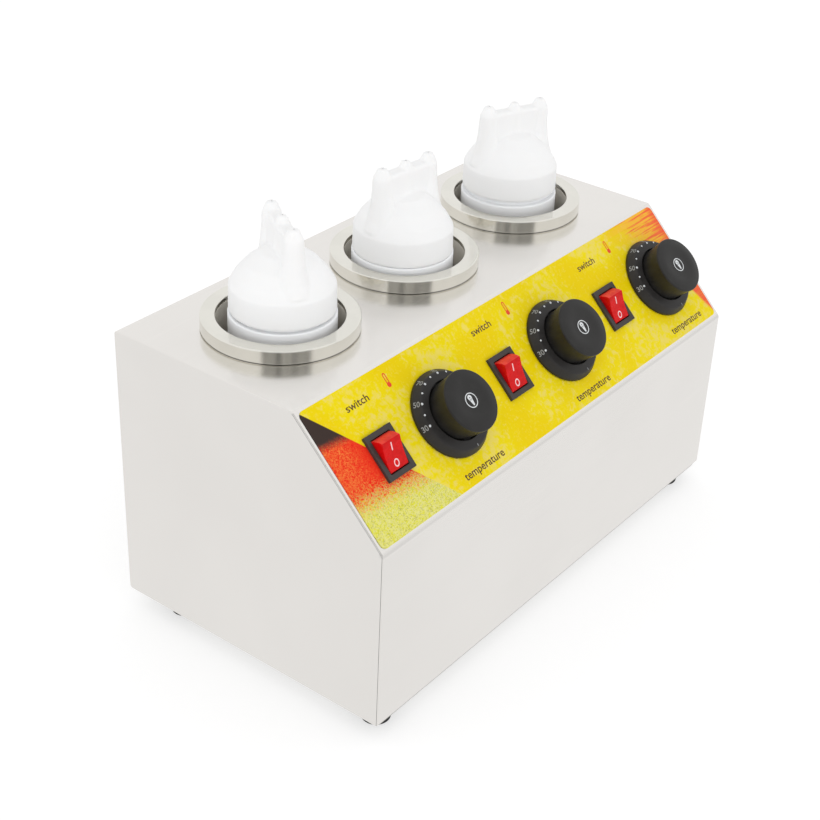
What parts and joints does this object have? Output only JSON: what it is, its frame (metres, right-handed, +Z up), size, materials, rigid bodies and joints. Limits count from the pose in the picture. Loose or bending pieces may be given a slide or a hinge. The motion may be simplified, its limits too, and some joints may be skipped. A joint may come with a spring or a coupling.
{
  "type": "hot fudge topping warmer",
  "caption": "Countertop stainless steel warmer with a sloped control panel and a row of heated wells that hold spouted squeeze bottles of sauce upright.",
  "frame": {"origin": "on the surface that the feet stand on, under the middle of the whole part's bounding box", "axes": "+X to the right along the row of wells, seen from the controls; +Y from the controls to the rear; +Z up"},
  "size_m": [0.4, 0.2336, 0.2914],
  "materials": {
    "casing_steel": "fine grain, satin stainless sheet",
    "polished_steel": "turned and polished stainless steel",
    "cup_steel": "drawn stainless steel, dull",
    "zinc": "zinc-plated steel",
    "brass": "plain",
    "rubber": "matte black",
    "black_plastic": "black moulding with fine texture",
    "grey_plastic": "dark grey moulding",
    "red_plastic": "glossy red",
    "bottle_plastic": "translucent milky polythene",
    "lid_plastic": "soft white polythene",
    "label_print": "printed film, satin gloss",
    "mica": "steel-clad mica heater",
    "ceramic": "pale heat-proof moulding"
  },
  "bodies": {
    "case": {"foot_front_left": "rubber", "foot_screw_front_left": "zinc", "base_screw_front_left": "zinc", "foot_front_right": "rubber", "foot_screw_front_right": "zinc", "base_screw_front_right": "zinc", "foot_rear_left": "rubber", "foot_screw_rear_left": "zinc", "base_screw_rear_left": "zinc", "foot_rear_right": "rubber", "foot_screw_rear_right": "zinc", "base_screw_rear_right": "zinc", "rear_screw_lower_left": "zinc", "rear_screw_upper_left": "zinc", "rear_screw_lower_right": "zinc", "rear_screw_upper_right": "zinc", "base_plate": "zinc", "casing_shell": "casing_steel", "rear_panel": "casing_steel", "panel_label": "label_print", "cord_gland": "black_plastic", "gland_locknut": "black_plastic", "terminal_block": "ceramic", "well_ring_left": "polished_steel", "well_cup_left": "cup_steel", "heater_band_left": "mica", "sensor_line_left": "brass", "switch_body_left": "grey_plastic", "thermostat_body_left": "ceramic", "dial_ring_left": "black_plastic", "well_ring_centre": "polished_steel", "well_cup_centre": "cup_steel", "heater_band_centre": "mica", "sensor_line_centre": "brass", "switch_body_centre": "grey_plastic", "thermostat_body_centre": "ceramic", "dial_ring_centre": "black_plastic", "well_ring_right": "polished_steel", "well_cup_right": "cup_steel", "heater_band_right": "mica", "sensor_line_right": "brass", "switch_body_right": "grey_plastic", "thermostat_body_right": "ceramic", "dial_ring_right": "black_plastic"},
    "knob_left": {"knob_left": "black_plastic", "thermostat_shaft_left": "zinc"},
    "rocker_left": {"switch_rocker_left": "red_plastic"},
    "bottle_left": {"bottle_left": "bottle_plastic"},
    "lid_left": {"bottle_lid_left": "lid_plastic"},
    "knob_centre": {"knob_centre": "black_plastic", "thermostat_shaft_centre": "zinc"},
    "rocker_centre": {"switch_rocker_centre": "red_plastic"},
    "bottle_centre": {"bottle_centre": "bottle_plastic"},
    "lid_centre": {"bottle_lid_centre": "lid_plastic"},
    "knob_right": {"knob_right": "black_plastic", "thermostat_shaft_right": "zinc"},
    "rocker_right": {"switch_rocker_right": "red_plastic"},
    "bottle_right": {"bottle_right": "bottle_plastic"},
    "lid_right": {"bottle_lid_right": "lid_plastic"}
  },
  "joints": [
    {"name": "knob_left_turn", "type": "hinge", "parent": "case", "child": "knob_left", "pos_m": [-0.0945, -0.08216, 0.17794], "axis": [0, 0.7071, -0.7071], "range_deg": [0, 223]},
    {"name": "rocker_left_tilt", "type": "hinge", "parent": "case", "child": "rocker_left", "pos_m": [-0.154, -0.0817, 0.17749], "axis": [-1, 0, 0], "range_deg": [0, 42]},
    {"name": "bottle_left_lift", "type": "slide", "parent": "case", "child": "bottle_left", "axis": [0, 0, 1], "range_m": [0, 0.18]},
    {"name": "lid_left_off", "type": "slide", "parent": "bottle_left", "child": "lid_left", "axis": [0, 0, 1], "range_m": [0, 0.04]},
    {"name": "knob_centre_turn", "type": "hinge", "parent": "case", "child": "knob_centre", "pos_m": [0.0315, -0.08216, 0.17794], "axis": [0, 0.7071, -0.7071], "range_deg": [0, 223]},
    {"name": "rocker_centre_tilt", "type": "hinge", "parent": "case", "child": "rocker_centre", "pos_m": [-0.028, -0.0817, 0.17749], "axis": [-1, 0, 0], "range_deg": [0, 42]},
    {"name": "bottle_centre_lift", "type": "slide", "parent": "case", "child": "bottle_centre", "axis": [0, 0, 1], "range_m": [0, 0.18]},
    {"name": "lid_centre_off", "type": "slide", "parent": "bottle_centre", "child": "lid_centre", "axis": [0, 0, 1], "range_m": [0, 0.04]},
    {"name": "knob_right_turn", "type": "hinge", "parent": "case", "child": "knob_right", "pos_m": [0.1575, -0.08216, 0.17794], "axis": [0, 0.7071, -0.7071], "range_deg": [0, 223]},
    {"name": "rocker_right_tilt", "type": "hinge", "parent": "case", "child": "rocker_right", "pos_m": [0.098, -0.0817, 0.17749], "axis": [-1, 0, 0], "range_deg": [0, 42]},
    {"name": "bottle_right_lift", "type": "slide", "parent": "case", "child": "bottle_right", "axis": [0, 0, 1], "range_m": [0, 0.18]},
    {"name": "lid_right_off", "type": "slide", "parent": "bottle_right", "child": "lid_right", "axis": [0, 0, 1], "range_m": [0, 0.04]}
  ]
}
